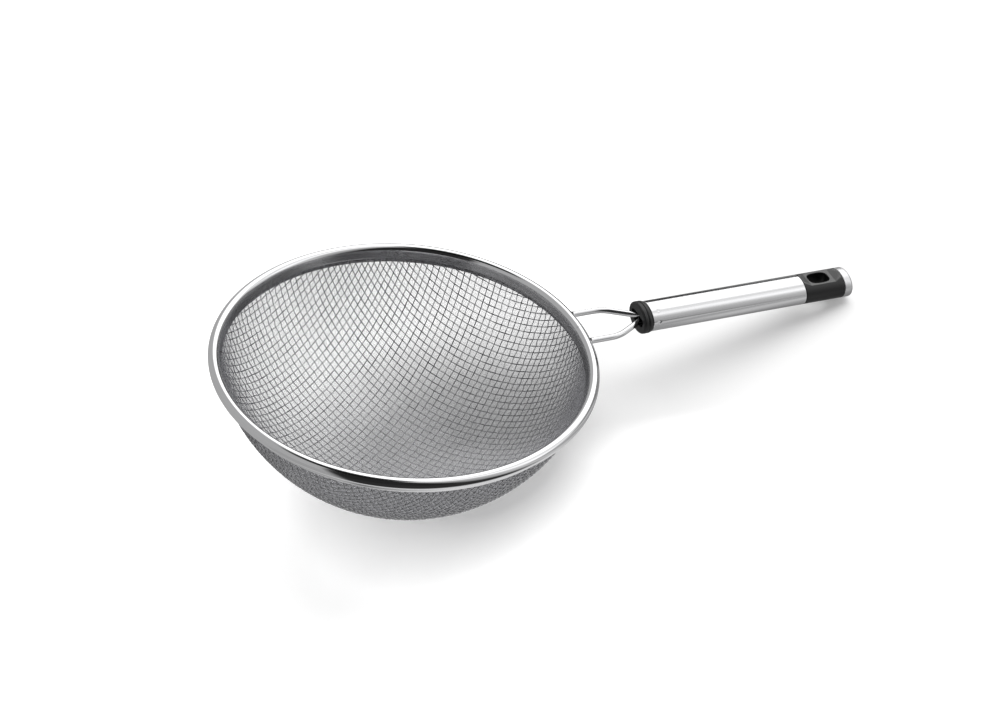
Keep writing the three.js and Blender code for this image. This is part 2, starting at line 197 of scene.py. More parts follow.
def rim_section():
    """Closed outline of the folded sheet in the clamp's (across, down) plane: up the outer leg, a small
    fillet, round the bead, down the inner leg, and back along the sheet's other face."""
    half = SHEET / 2
    reach = BEAD_RADIUS + LEG_FILLET
    corner_across = OUTER_LEG_FACE + LEG_FILLET
    corner = np.array([corner_across, np.sqrt(reach ** 2 - corner_across ** 2)])
    join = np.degrees(np.arctan2(corner[1], corner[0]))
    back = OUTER_LEG_FACE - SHEET
    bore = BEAD_RADIUS - SHEET
    bore_join = np.degrees(np.arccos(back / bore))
    return np.concatenate([
        arc((OUTER_LEG_FACE - half, OUTER_LEG - half), half, 180, 0, 7),
        line((OUTER_LEG_FACE, OUTER_LEG - half), (OUTER_LEG_FACE, corner[1]), 4),
        arc(corner, LEG_FILLET, 180, 180 + join, 7),
        arc((0, 0), BEAD_RADIUS, join, -180, 52)[1:],
        line((-BEAD_RADIUS, 0), (-BEAD_RADIUS, INNER_LEG - half), 5),
        arc((-BEAD_RADIUS + half, INNER_LEG - half), half, 180, 0, 7),
        line((-bore, INNER_LEG - half), (-bore, 0), 2),
        arc((0, 0), bore, -180, bore_join, 20),
        line((back, bore * np.sin(np.radians(bore_join))), (back, OUTER_LEG - half), 2),
    ])


def rim_ring():
    """The section turned about the bowl's axis: radius = bead centre + across cos(lean) - down sin(lean)
    and height = -across sin(lean) - down cos(lean). At the seam it moves in along the section's normal by
    the groove's depth times exp(-(turn / width)^2)."""
    section = rim_section()
    along = np.roll(section, -1, 0) - np.roll(section, 1, 0)
    normal = np.stack([along[:, 1], -along[:, 0]], -1)
    normal /= np.linalg.norm(normal, axis=1, keepdims=True)
    even = np.linspace(0, 2 * np.pi, RIM_STEPS, endpoint=False)
    near = RIM_SEAM_WIDTH * np.array([-3, -1.5, -0.7, 0, 0.7, 1.5, 3])
    turn = np.sort(np.concatenate([even, near])) + RIM_SEAM
    off_seam = (turn - RIM_SEAM + np.pi) % (2 * np.pi) - np.pi
    groove = RIM_SEAM_DEPTH * np.exp(-((off_seam / RIM_SEAM_WIDTH) ** 2))
    points = section[None] + normal[None] * groove[:, None, None]
    cos, sin = np.cos(WALL_LEAN), np.sin(WALL_LEAN)
    radius = BEAD_CENTRE + points[..., 0] * cos - points[..., 1] * sin
    height = -points[..., 0] * sin - points[..., 1] * cos
    return np.stack([radius * np.cos(turn)[:, None], radius * np.sin(turn)[:, None], height], -1)


rim_finish, rim_tree, rim_shader = new_finish("polished_rim", (0.8, 0.8, 0.81), 1.0, 0.07)
rim_map = read_map(rim_tree)
rim_lines = add_noise(rim_tree, rim_map, RIM_LINES)
rim_haze = add_noise(rim_tree, rim_map, RIM_HAZE)
rim_tree.links.new(add_range(rim_tree, rim_haze, *RIM_ROUGH), rim_shader.inputs["Roughness"])
rim_across = rim_tree.nodes.new("ShaderNodeSeparateXYZ")
rim_tree.links.new(rim_map, rim_across.inputs["Vector"])
rim_tone_and_shade = rim_tree.nodes.new("ShaderNodeVectorMath")
rim_tone_and_shade.operation = "SCALE"
rim_tree.links.new(add_tones(rim_tree, rim_lines, STEEL_DARK, STEEL_LIGHT), rim_tone_and_shade.inputs[0])
# Painted shade: the steel's colour is darkened on the short inner leg and the hidden inner face of the
# sheet, for the shade that falls inside the rim.
rim_leg_shade = add_range(rim_tree, rim_across.outputs["Y"], 1.0, INNER_LEG_SHADE, *INNER_LEG_SHADE_FROM)
rim_tree.links.new(rim_leg_shade, rim_tone_and_shade.inputs["Scale"])
rim_tree.links.new(rim_tone_and_shade.outputs["Vector"], rim_shader.inputs["Base Color"])
add_bump(rim_tree, rim_shader, rim_lines, RIM_LINE_DEPTH)

ring = rim_ring()
ring_faces, ring_places = grid_faces(*ring.shape[:2], close_rows=True, close_columns=True)
put_piece("rim", ring, ring_faces, ring_places, rim_finish, "rim_band")


# Core wire: a ring of drawn steel wire that the bead is folded round, out of sight inside it. Its shape is
# the CAD's own, and here it gets its finish.
CORE_TONE = (0.62, 0.62, 0.63)
CORE_SPOTS = (900, 900, 900)
CORE_ROUGH = (0.28, 0.42)

core_finish, core_tree, core_shader = new_finish("core_wire", CORE_TONE, 1.0, 0.35)
core_place = core_tree.nodes.new("ShaderNodeTexCoord").outputs["Object"]
core_spots = add_noise(core_tree, core_place, CORE_SPOTS)
core_tree.links.new(add_range(core_tree, core_spots, *CORE_ROUGH), core_shader.inputs["Roughness"])
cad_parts["rim_core_wire"].data.materials.clear()
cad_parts["rim_core_wire"].data.materials.append(core_finish)


# Bowl: two nets of woven steel wire, a fine one inside and a coarse one outside, pressed to a round bowl in
# one go, so that their square openings shear to diamonds up the walls. Both end in the rim's clamp. The fine
# wires of each direction are laid in four lots, so that no mesh grows too large.
BALL_RADIUS = 99.0
BALL_HEIGHT = 22.5
MESH_TOP_ANGLE = np.radians(75.6)
WIRE_SPOTS = (700, 700, 700)
WIRE_CLOUD = (260, 260, 260)
STRIP_MARGIN = 0.05


def draped_net(pitch, turn):
    """Directions from the ball's centre to a net's crossings. Two wires cross at the bottom and run up the
    ball. Each further crossing lies one pitch from the two before it: with a and b those two, it is
    (a + b) cos(step) / (1 + a.b) plus the rest of a unit length along b x a. Worked out by diagonals."""
    step = pitch / BALL_RADIUS
    reach = int(np.ceil(MESH_TOP_ANGLE / step)) + 2
    quarter = np.zeros((reach + 1, reach + 1, 3))
    run = np.arange(reach + 1) * step
    quarter[:, 0] = np.stack([np.sin(run), 0 * run, -np.cos(run)], -1)
    quarter[0, :] = np.stack([0 * run, np.sin(run), -np.cos(run)], -1)
    for diagonal in range(2, 2 * reach + 1):
        i = np.arange(max(1, diagonal - reach), min(reach, diagonal - 1) + 1)
        j = diagonal - i
        a, b, back = quarter[i - 1, j], quarter[i, j - 1], quarter[i - 1, j - 1]
        middle = (a + b) * (np.cos(step) / (1 + np.sum(a * b, -1)))[:, None]
        rise = np.sqrt(np.maximum(0, 1 - np.sum(middle ** 2, -1)))[:, None]
        side = np.cross(b, a)
        side /= np.maximum(np.linalg.norm(side, axis=-1, keepdims=True), 1e-12)
        one, other = middle + side * rise, middle - side * rise
        far = np.sum((one - back) ** 2, -1) > np.sum((other - back) ** 2, -1)
        quarter[i, j] = np.where(far[:, None], one, other)
    index = np.arange(-reach, reach + 1)
    net = quarter[np.abs(index)[:, None], np.abs(index)[None, :]].copy()
    net[..., 0] *= np.where(index < 0, -1, 1)[:, None]
    net[..., 1] *= np.where(index < 0, -1, 1)[None, :]
    cos, sin = np.cos(turn), np.sin(turn)
    x, y, z = np.moveaxis(net, -1, 0)
    return np.stack([x * cos - y * sin, x * sin + y * cos, z], -1)


def put_wires(name, net, lead, radius, swing, thickness, sides, steps, finish, node):
    """One family of a net's wires, each a tube through its crossings. The tube's centre lies at the radius
    plus swing cos(pi (wire + place)) times the lead, +1 or -1, so it passes over and under. Its flat sides
    enclose the area of a round wire, and it is cut off at the clamp."""
    wires, crossings = net.shape[:2]
    place = np.arange((crossings - 1) * steps + 1) / steps
    before = np.minimum(place.astype(int), crossings - 2)
    share = (place - before)[None, :, None]
    direction = net[:, before] * (1 - share) + net[:, before + 1] * share
    direction /= np.linalg.norm(direction, axis=-1, keepdims=True)
    number = np.arange(wires)
    wave = lead * np.cos(np.pi * (number[:, None] + place[None, :]))
    centre = direction * (radius + swing * wave)[..., None]
    along = np.gradient(centre, axis=1)
    along /= np.maximum(np.linalg.norm(along, axis=-1, keepdims=True), 1e-9)
    out = direction - along * np.sum(direction * along, -1, keepdims=True)
    out /= np.maximum(np.linalg.norm(out, axis=-1, keepdims=True), 1e-9)
    across = np.cross(along, out)
    turn = 2 * np.pi * np.arange(sides) / sides
    wire_radius = thickness / 2 * np.sqrt(np.pi / (sides * np.sin(np.pi / sides) * np.cos(np.pi / sides)))
    ring = (np.cos(turn)[:, None] * across[..., None, :] + np.sin(turn)[:, None] * out[..., None, :])
    points = centre[..., None, :] + wire_radius * ring + np.array([0, 0, BALL_HEIGHT])
    kept = np.arccos(np.clip(-direction[..., 2], -1, 1)) < MESH_TOP_ANGLE
    rank = np.cumsum(kept).reshape(kept.shape) - 1
    wire, spot = np.nonzero(kept[:, :-1] & kept[:, 1:])
    here, there = rank[wire, spot], rank[wire, spot + 1]
    side = np.arange(sides)
    corner = [here[:, None] * sides + side, there[:, None] * sides + side,
              there[:, None] * sides + (side + 1) % sides, here[:, None] * sides + (side + 1) % sides]
    faces = np.stack(corner, -1).reshape(-1, 4)
    strip = (1 - 2 * STRIP_MARGIN) * np.stack([side, side, side + 1, side + 1], -1)[:, None] / sides
    strip = np.moveaxis(wire[:, None] + STRIP_MARGIN + strip, 1, 0) / wires
    run = np.stack([spot, spot + 1, spot + 1, spot], -1)[:, None, :] / len(place)
    run, strip = np.broadcast_arrays(run, strip)
    places = np.stack([run, strip], -1).reshape(-1, 4, 2)
    first = rank[kept & ~np.pad(kept, ((0, 0), (1, 0)))[:, :-1]]
    last = rank[kept & ~np.pad(kept, ((0, 0), (0, 1)))[:, 1:]]
    ends = [k * sides + side for k in first] + [k * sides + side[::-1] for k in last]
    put_piece(name, points[kept], faces, places, finish, node, "OFBake", ends)


def wire_finish(name, dark, light, smooth, rough):
    """Drawn steel wire: a tone and a roughness that vary from wire to wire and along each wire."""
    finish, tree, shader = new_finish(name, light, 1.0, smooth)
    place = tree.nodes.new("ShaderNodeTexCoord").outputs["Object"]
    spots = add_noise(tree, place, WIRE_SPOTS)
    cloud = add_noise(tree, place, WIRE_CLOUD)
    tree.links.new(add_tones(tree, spots, dark, light), shader.inputs["Base Color"])
    tree.links.new(add_range(tree, cloud, smooth, rough), shader.inputs["Roughness"])
    return finish


COARSE_PITCH = 3.75
COARSE_WIRE = 0.46
COARSE_SWING = 0.24
COARSE_TURN = np.radians(35.3)
COARSE_RADIUS = 98.55
COARSE_SIDES = 6
COARSE_STEPS = 4
# Painted shade: the coarse wires get a darker steel tone than the fine ones, for the shade they lie in
# behind the fine net.
COARSE_SHADE_DARK = (0.34, 0.34, 0.35)
COARSE_SHADE_LIGHT = (0.5, 0.5, 0.51)
COARSE_ROUGH = (0.2, 0.32)

coarse_finish = wire_finish("coarse_wire", COARSE_SHADE_DARK, COARSE_SHADE_LIGHT, *COARSE_ROUGH)
coarse_net = draped_net(COARSE_PITCH, COARSE_TURN)
for family, lead in (("warp", 1), ("weft", -1)):
    family_net = coarse_net if family == "warp" else coarse_net.swapaxes(0, 1)
    put_wires(f"coarse_{family}", family_net, lead, COARSE_RADIUS, COARSE_SWING, COARSE_WIRE, COARSE_SIDES,
              COARSE_STEPS, coarse_finish, "coarse_mesh")

FINE_PITCH = 0.65
FINE_WIRE = 0.12
FINE_SWING = 0.07
FINE_TURN = np.radians(36.4)
FINE_RADIUS = 97.7
FINE_SIDES = 3
FINE_STEPS = 1
FINE_LOTS = 4
FINE_DARK = (0.62, 0.62, 0.64)
FINE_LIGHT = (0.78, 0.78, 0.81)
FINE_ROUGH = (0.16, 0.28)

fine_finish = wire_finish("fine_wire", FINE_DARK, FINE_LIGHT, *FINE_ROUGH)
fine_net = draped_net(FINE_PITCH, FINE_TURN)
for family, lead in (("warp", 1), ("weft", -1)):
    family_net = fine_net if family == "warp" else fine_net.swapaxes(0, 1)
    laid = np.cumsum(np.sum(family_net[..., 2] < -np.cos(MESH_TOP_ANGLE), axis=1))
    lot_ends = np.searchsorted(laid, laid[-1] * np.arange(FINE_LOTS + 1) / FINE_LOTS)
    lot_ends[-1] = len(family_net)
    for lot in range(FINE_LOTS):
        first, end = lot_ends[lot], lot_ends[lot + 1]
        put_wires(f"fine_{family}_{lot + 1}", family_net[first:end], lead * (-1.0) ** first, FINE_RADIUS,
                  FINE_SWING, FINE_WIRE, FINE_SIDES, FINE_STEPS, fine_finish, "fine_mesh")


# Fork: two rods of polished steel, welded to the outside of the bead, bent towards each other and held in
# the ferrule of the handle.
ROD_RADIUS = 1.6
FORK_HALF_WIDTH = 11.8
FORK_HALF_NECK = 1.8
FORK_NECK = 134.0
FORK_SHOULDER = 115.96
ROD_BEND_RADIUS = 18.0
ROD_END = 151.0
ROD_SIDES = 28
WELD_LENGTH = 0.8
WELD_FLARE = 0.12
WELD_SINK = 0.4
BEND_STEPS = 14
STRAIGHT_STEPS = 10
TANG_STEPS = 6
ROD_DRAW = (5.0, 40.0, 1.0)
ROD_DRAW_DEPTH = 0.000005
ROD_ROUGH = (0.07, 0.17)


def rod_path(side):
    """Straight out from the bead, a bend, straight to the neck, a bend back and a straight tang. Each bend
    is a parabola (1-s)^2 p + 2 s (1-s) q + s^2 r, with p and r one tangent length before and after its
    corner q."""
    rim_radius = BEAD_CENTRE + BEAD_RADIUS
    start = np.sqrt(rim_radius ** 2 - FORK_HALF_WIDTH ** 2) - WELD_SINK
    corners = np.array([[start, FORK_HALF_WIDTH], [FORK_SHOULDER, FORK_HALF_WIDTH],
                        [FORK_NECK, FORK_HALF_NECK], [ROD_END, FORK_HALF_NECK]])
    slope = np.arctan2(FORK_HALF_WIDTH - FORK_HALF_NECK, FORK_NECK - FORK_SHOULDER)
    tangent = ROD_BEND_RADIUS * np.tan(slope / 2)
    s = np.linspace(0, 1, BEND_STEPS)[:, None]
    runs, at = [], corners[0]
    for before, corner, after in zip(corners, corners[1:], corners[2:]):
        enter = corner + tangent * (before - corner) / np.linalg.norm(before - corner)
        leave = corner + tangent * (after - corner) / np.linalg.norm(after - corner)
        bend = (1 - s) ** 2 * enter + 2 * s * (1 - s) * corner + s ** 2 * leave
        runs += [line(at, enter, STRAIGHT_STEPS), bend]
        at = leave
    flat = np.concatenate([corners[:1], *runs, line(at, corners[-1], TANG_STEPS), corners[-1:]])
    return np.stack([flat[:, 0], side * flat[:, 1], np.zeros(len(flat))], -1)


def rod_surface(side):
    """A circle carried along the rod's path. At the bead it flares by the weld: radius + flare
    (1 - d/length)^2 for a distance d from the bead under the weld's length."""
    path = rod_path(side)
    along = np.gradient(path, axis=0)
    along /= np.linalg.norm(along, axis=1, keepdims=True)
    up = np.array([0.0, 0.0, 1.0])
    across = np.cross(up, along)
    turn = 2 * np.pi * np.arange(ROD_SIDES) / ROD_SIDES
    reach = np.concatenate([[0], np.cumsum(np.linalg.norm(np.diff(path, axis=0), axis=1))])
    radius = ROD_RADIUS + WELD_FLARE * np.clip(1 - reach / WELD_LENGTH, 0, 1) ** 2
    ring = np.cos(turn)[:, None] * across[:, None] + np.sin(turn)[:, None] * up
    return path[:, None] + radius[:, None, None] * ring


rod_finish, rod_tree, rod_shader = new_finish("polished_rod", (0.8, 0.8, 0.81), 1.0, 0.1)
rod_map = read_map(rod_tree)
rod_draw = add_noise(rod_tree, rod_map, ROD_DRAW)
rod_tree.links.new(add_range(rod_tree, rod_draw, *ROD_ROUGH), rod_shader.inputs["Roughness"])
rod_tree.links.new(add_tones(rod_tree, rod_draw, STEEL_DARK, STEEL_LIGHT), rod_shader.inputs["Base Color"])
add_bump(rod_tree, rod_shader, rod_draw, ROD_DRAW_DEPTH)

for side, name in ((1, "left"), (-1, "right")):
    rod = rod_surface(side)
    rod_faces, rod_places = grid_faces(*rod.shape[:2], close_columns=True)
    last_ring = (len(rod) - 1) * ROD_SIDES
    rod_ends = [np.arange(ROD_SIDES), last_ring + np.arange(ROD_SIDES)[::-1]]
    put_piece(f"fork_rod_{name}", rod, rod_faces, rod_places, rod_finish,
              f"fork_wire_{name}", ends=rod_ends)


# Front ferrule: a plug of moulded black plastic in the tube's end. Its oval head is a little wider than the
# tube and has a groove round it. The rods enter by a mouth in its face, and a slot inside grips their tangs.
HANDLE_HALF_WIDTH = 9.6
HANDLE_HALF_HEIGHT = 7.3
OVAL_STEPS = 128
PLASTIC_GRAIN = (5200, 5200, 5200)
PLASTIC_GRAIN_DEPTH = 0.00001
PLASTIC_CLOUD = (160, 160, 160)
PLASTIC_ROUGH = (0.28, 0.4)


def oval_rings(stations):
    """Rings across the handle's axis: at each station x, a curve y = a |cos t|^(2/n), z = b |sin t|^(2/n)
    with their signs, for a half width a, a half height b and a power n, 2 for an oval."""
    x, a, b, n = (np.asarray(stations, float)[:, k, None] for k in range(4))
    turn = 2 * np.pi * np.arange(OVAL_STEPS) / OVAL_STEPS
    cos, sin = np.cos(turn)[None], np.sin(turn)[None]
    y = a * np.sign(cos) * np.abs(cos) ** (2 / n)
    z = b * np.sign(sin) * np.abs(sin) ** (2 / n)
    return np.stack([np.broadcast_to(x, y.shape), y, z], -1)


def rounded(x, a, b, radius, from_degrees, to_degrees, power=2.0, count=7):
    """Stations round an edge: x + radius cos(t) and the half sizes a + radius sin(t), b + radius sin(t)."""
    turn = np.radians(np.linspace(from_degrees, to_degrees, count))
    return [(x + radius * np.cos(t), a + radius * np.sin(t), b + radius * np.sin(t), power) for t in turn]


def put_oval(name, rings, finish, node, closed=False):
    """Puts a piece of oval rings in place, capped at both ends or closed to a tube."""
    faces, places = grid_faces(*rings.shape[:2], close_rows=closed, close_columns=True)
    last = (len(rings) - 1) * OVAL_STEPS
    ends = [] if closed else [np.arange(OVAL_STEPS)[::-1], last + np.arange(OVAL_STEPS)]
    put_piece(name, rings, faces, places, finish, node, ends=ends)


def plastic_finish(name, dark, light):
    """Moulded black plastic: a fine grain in the surface and a sheen that varies a little over it."""
    finish, tree, shader = new_finish(name, dark, 0.0, 0.35)
    place = tree.nodes.new("ShaderNodeTexCoord").outputs["Object"]
    grain = add_noise(tree, place, PLASTIC_GRAIN, 2.0)
    cloud = add_noise(tree, place, PLASTIC_CLOUD)
    tree.links.new(add_range(tree, cloud, *PLASTIC_ROUGH), shader.inputs["Roughness"])
    tree.links.new(add_tones(tree, cloud, dark, light), shader.inputs["Base Color"])
    add_bump(tree, shader, grain, PLASTIC_GRAIN_DEPTH, 0.6)
    return finish


FERRULE_FRONT = 131.7
FERRULE_HEAD_END = 137.0
FERRULE_LIP = 0.6
FERRULE_EDGE = 1.1
FERRULE_BAND = ((136.8, 0.05), (136.4, 0.5), (135.9, 0.8), (135.3, 0.95), (134.9, 0.95), (134.75, 0.8),
                (134.65, 0.3), (134.35, 0.3), (134.25, 0.8), (134.1, 0.95), (133.6, 1.0), (133.0, 1.0))
MOUTH_HALF_WIDTH = 6.8
MOUTH_HALF_HEIGHT = 2.7
MOUTH_FLOOR = 135.6
SLOT_END = 146.0
SLOT_HALF_WIDTH = 3.5
SLOT_HALF_HEIGHT = 1.7
PLUG_END = 150.0
PLUG_HALF_WIDTH = 8.6
PLUG_HALF_HEIGHT = 6.3
FERRULE_DARK = (0.008, 0.008, 0.0085)
FERRULE_LIGHT = (0.013, 0.013, 0.0135)

ferrule_finish = plastic_finish("ferrule_plastic", FERRULE_DARK, FERRULE_LIGHT)
head_a = HANDLE_HALF_WIDTH + FERRULE_LIP
head_b = HANDLE_HALF_HEIGHT + FERRULE_LIP
ferrule_stations = [
    (PLUG_END, PLUG_HALF_WIDTH, PLUG_HALF_HEIGHT, 2),
    (FERRULE_HEAD_END + 0.3, PLUG_HALF_WIDTH, PLUG_HALF_HEIGHT, 2),
    (FERRULE_HEAD_END, PLUG_HALF_WIDTH + 0.2, PLUG_HALF_HEIGHT + 0.2, 2),
    (FERRULE_HEAD_END, HANDLE_HALF_WIDTH - 0.15, HANDLE_HALF_HEIGHT - 0.15, 2),
    *[(x, HANDLE_HALF_WIDTH + FERRULE_LIP * swell, HANDLE_HALF_HEIGHT + FERRULE_LIP * swell, 2)
      for x, swell in FERRULE_BAND],
    *rounded(FERRULE_FRONT + FERRULE_EDGE, head_a - FERRULE_EDGE, head_b - FERRULE_EDGE, FERRULE_EDGE,
             90, 180, 2, 14),
    *[(FERRULE_FRONT, a, b, n) for a, b, n in zip(
        np.linspace(head_a - FERRULE_EDGE - 0.05, MOUTH_HALF_WIDTH + 0.45, 5),
        np.linspace(head_b - FERRULE_EDGE - 0.2, MOUTH_HALF_HEIGHT + 0.6, 5), (2, 2.1, 2.3, 2.7, 3.2))],
    *rounded(FERRULE_FRONT + 0.4, MOUTH_HALF_WIDTH + 0.4, MOUTH_HALF_HEIGHT + 0.4, -0.4, 0, 90, 3.4, 5),
    (MOUTH_FLOOR - 0.3, MOUTH_HALF_WIDTH - 0.2, MOUTH_HALF_HEIGHT - 0.2, 3.6),
    (MOUTH_FLOOR, MOUTH_HALF_WIDTH - 0.4, MOUTH_HALF_HEIGHT - 0.4, 3.6),
    (MOUTH_FLOOR, SLOT_HALF_WIDTH + 0.2, SLOT_HALF_HEIGHT + 0.05, 4),
    (MOUTH_FLOOR + 0.4, SLOT_HALF_WIDTH, SLOT_HALF_HEIGHT, 4),
    (SLOT_END, SLOT_HALF_WIDTH, SLOT_HALF_HEIGHT, 4),
]
put_oval("ferrule", oval_rings(ferrule_stations), ferrule_finish, "front_ferrule")


# Handle tube: an oval tube of thin stainless sheet, brushed along its length, with its ends eased and two
# small stake marks near the front that hold the ferrule.
TUBE_START = 137.2
TUBE_END = 229.6
TUBE_WALL = 0.6
TUBE_EASE = 0.25
STAKES = np.array([[140.7, -9.26, 1.93], [141.2, -4.7, 6.36]])
STAKE_DEPTH = 0.16
STAKE_SIZE = 0.75
STAKES_END = 144.0
TUBE_DARK = (0.72, 0.72, 0.73)
TUBE_BRUSH = (3.0, 420.0, 1.0)
TUBE_BRUSH_DEPTH = 0.000008
TUBE_BANDS = (1.2, 60.0, 1.0)
TUBE_ROUGH = (0.09, 0.17)

tube_finish, tube_tree, tube_shader = new_finish("brushed_tube", (0.78, 0.78, 0.79), 1.0, 0.13)
tube_map = read_map(tube_tree)
tube_brush = add_noise(tube_tree, tube_map, TUBE_BRUSH, 4.0)
tube_bands = add_noise(tube_tree, tube_map, TUBE_BANDS, 2.0)
tube_tree.links.new(add_range(tube_tree, tube_bands, *TUBE_ROUGH), tube_shader.inputs["Roughness"])
tube_tones = add_tones(tube_tree, tube_brush, TUBE_DARK, STEEL_LIGHT)
tube_tree.links.new(tube_tones, tube_shader.inputs["Base Color"])
add_bump(tube_tree, tube_shader, tube_brush, TUBE_BRUSH_DEPTH)

inner_a, inner_b = HANDLE_HALF_WIDTH - TUBE_WALL, HANDLE_HALF_HEIGHT - TUBE_WALL
ease_a, ease_b = HANDLE_HALF_WIDTH - TUBE_EASE, HANDLE_HALF_HEIGHT - TUBE_EASE
tube_x = np.concatenate([
    np.linspace(TUBE_START + TUBE_EASE + 0.1, STAKES_END, 30),
    np.linspace(STAKES_END + 3, TUBE_END - 1, 30), [TUBE_END - 0.4],
])
tube_stations = [
    (TUBE_START, inner_a, inner_b, 2), (TUBE_START, inner_a + 0.05, inner_b + 0.05, 2),
    *rounded(TUBE_START + TUBE_EASE, ease_a, ease_b, TUBE_EASE, 180, 90),
    *[(x, HANDLE_HALF_WIDTH, HANDLE_HALF_HEIGHT, 2) for x in tube_x],
    *rounded(TUBE_END - TUBE_EASE, ease_a, ease_b, TUBE_EASE, 90, 0),
    (TUBE_END, inner_a + 0.05, inner_b + 0.05, 2), (TUBE_END, inner_a, inner_b, 2),
]
tube_rings = oval_rings(tube_stations)
to_stake = np.linalg.norm(tube_rings[None] - STAKES[:, None, None], axis=-1)
stake_dent = STAKE_DEPTH * np.sum(np.exp(-((to_stake / STAKE_SIZE) ** 2)), 0)
tube_out = tube_rings[..., 1:] / np.array([HANDLE_HALF_WIDTH, HANDLE_HALF_HEIGHT]) ** 2
tube_out /= np.linalg.norm(tube_out, axis=-1, keepdims=True)
tube_rings[..., 1:] -= tube_out * stake_dent[..., None]
put_oval("handle_tube_brushed", tube_rings, tube_finish, "handle_tube", closed=True)


# Tail piece: moulded black plastic, plugged into the tube's far end and flush with it. It is scooped flat
# above and below round a rounded hanging hole. The flat lands are given a lighter grey than the sides,
# picked out
# by the way they face: a painted sheen.
TAIL_START = 229.8
TAIL_END = 253.6
LAND_HEIGHT = 5.85
LAND_FROM = 234.0
LAND_TO = 248.9
LAND_RAMP = 0.29
LAND_EDGE = 0.14
LAND_SHEEN_TONE = 0.085
LAND_SHEEN_FACING = (0.93, 0.99)
HOLE_CENTRE = 240.8
HOLE_HALF_LENGTH = 6.0
HOLE_HALF_WIDTH = 4.3
HOLE_POWER = 3.0
HOLE_EDGE = 0.45
TAIL_EASE = 0.3
SIDE_STEPS = 40
TAIL_ROWS = 44
TAIL_DARK = (0.006, 0.006, 0.0065)
TAIL_LIGHT = (0.009, 0.009, 0.0095)


def tail_skin(x, turn):
    """Upper skin of the tail at a place x and a turn from the crown: y = a sin(turn), and z is the lower of
    the oval b cos(turn) and the scooped land, with a soft edge (p + q - sqrt((p - q)^2 + k^2)) / 2. The oval
    draws in by the ease at both ends."""
    ends = np.minimum(x - TAIL_START, TAIL_END - x)
    ease = TAIL_EASE * (1 - np.sqrt(np.clip(1 - (1 - np.clip(ends / TAIL_EASE, 0, 1)) ** 2, 0, 1)))
    land = LAND_HEIGHT + LAND_RAMP * (np.maximum(LAND_FROM - x, 0) + np.maximum(x - LAND_TO, 0))
    crown = (HANDLE_HALF_HEIGHT - ease) * np.cos(turn)
    z = (crown + land - np.sqrt((crown - land) ** 2 + LAND_EDGE ** 2)) / 2
    return np.stack([x, (HANDLE_HALF_WIDTH - ease) * np.sin(turn), np.maximum(z, 0)], -1)


def hole_outline(angle, grow):
    """The hanging hole's outline |x/a|^n + |y/b|^n = 1, grown by a distance, at an angle from its centre."""
    cos, sin = np.cos(angle), np.sin(angle)
    a, b = HOLE_HALF_LENGTH + grow, HOLE_HALF_WIDTH + grow
    radius = (np.abs(cos) ** HOLE_POWER + np.abs(sin) ** HOLE_POWER) ** (-1 / HOLE_POWER)
    return HOLE_CENTRE + a * radius * cos, b * radius * sin


def tail_rows():
    """Rows of points round the hanging hole: over the upper skin from the tail's outline to the hole, round
    the hole's edge, down its wall, and out over the lower skin, which mirrors the upper one."""
    run = np.arange(SIDE_STEPS) / SIDE_STEPS
    side = np.pi * (run - 0.5)
    outline_x = np.concatenate([
        np.full(SIDE_STEPS, TAIL_END), TAIL_END + (TAIL_START - TAIL_END) * run,
        np.full(SIDE_STEPS, TAIL_START), TAIL_START + (TAIL_END - TAIL_START) * run,
    ])
    outline_turn = np.concatenate([side, 0 * run + np.pi / 2, -side, 0 * run - np.pi / 2])
    reach = np.where(outline_x > HOLE_CENTRE, TAIL_END - HOLE_CENTRE, HOLE_CENTRE - TAIL_START)
    angle = np.arctan2(outline_turn / (np.pi / 2), (outline_x - HOLE_CENTRE) / reach)
    hole_x, hole_y = hole_outline(angle, HOLE_EDGE)
    hole_turn = np.arcsin(hole_y / HANDLE_HALF_WIDTH)
    share = np.linspace(0, 1, TAIL_ROWS)[:, None]
    upper = tail_skin(
        outline_x * (1 - share) + hole_x * share, outline_turn * (1 - share) + hole_turn * share
    )
    top = upper[-1, :, 2]
    edge = []
    for t in np.radians([18, 36, 54, 72, 90]):
        x, y = hole_outline(angle, HOLE_EDGE * (1 - np.sin(t)))
        edge.append(np.stack([x, y, top - HOLE_EDGE * (1 - np.cos(t))], -1))
    wall_x, wall_y = hole_outline(angle, 0.0)
    wall = [np.stack([wall_x, wall_y, (top - HOLE_EDGE) * k], -1) for k in (0.66, 0.33)]
    half = np.concatenate([upper, edge, wall])
    waist = np.stack([wall_x, wall_y, 0 * top], -1)[None]
    return np.concatenate([half, waist, half[::-1] * np.array([1, 1, -1])])


tail_finish = plastic_finish("tail_plastic", TAIL_DARK, TAIL_LIGHT)
tail_tree = tail_finish.node_tree
tail_shader = tail_tree.nodes["Principled BSDF"]
# Painted sheen: faces turned up or down along the bowl's axis get the lands' lighter grey.
facing = tail_tree.nodes.new("ShaderNodeVectorMath")
facing.operation = "DOT_PRODUCT"
facing.inputs[1].default_value = (np.sin(REST_TILT), 0, np.cos(REST_TILT))
tail_tree.links.new(tail_tree.nodes.new("ShaderNodeNewGeometry").outputs["Normal"], facing.inputs[0])
facing_size = tail_tree.nodes.new("ShaderNodeMath")
facing_size.operation = "ABSOLUTE"
tail_tree.links.new(facing.outputs["Value"], facing_size.inputs[0])
land_sheen = tail_tree.nodes.new("ShaderNodeMix")
land_sheen.data_type = "RGBA"
land_sheen.inputs["B"].default_value = (LAND_SHEEN_TONE, LAND_SHEEN_TONE, LAND_SHEEN_TONE, 1)
tail_tree.links.new(tail_shader.inputs["Base Color"].links[0].from_socket, land_sheen.inputs["A"])
land_sheen_mask = add_range(tail_tree, facing_size.outputs[0], 0.0, 1.0, *LAND_SHEEN_FACING)
tail_tree.links.new(land_sheen_mask, land_sheen.inputs["Factor"])
tail_tree.links.new(land_sheen.outputs["Result"], tail_shader.inputs["Base Color"])

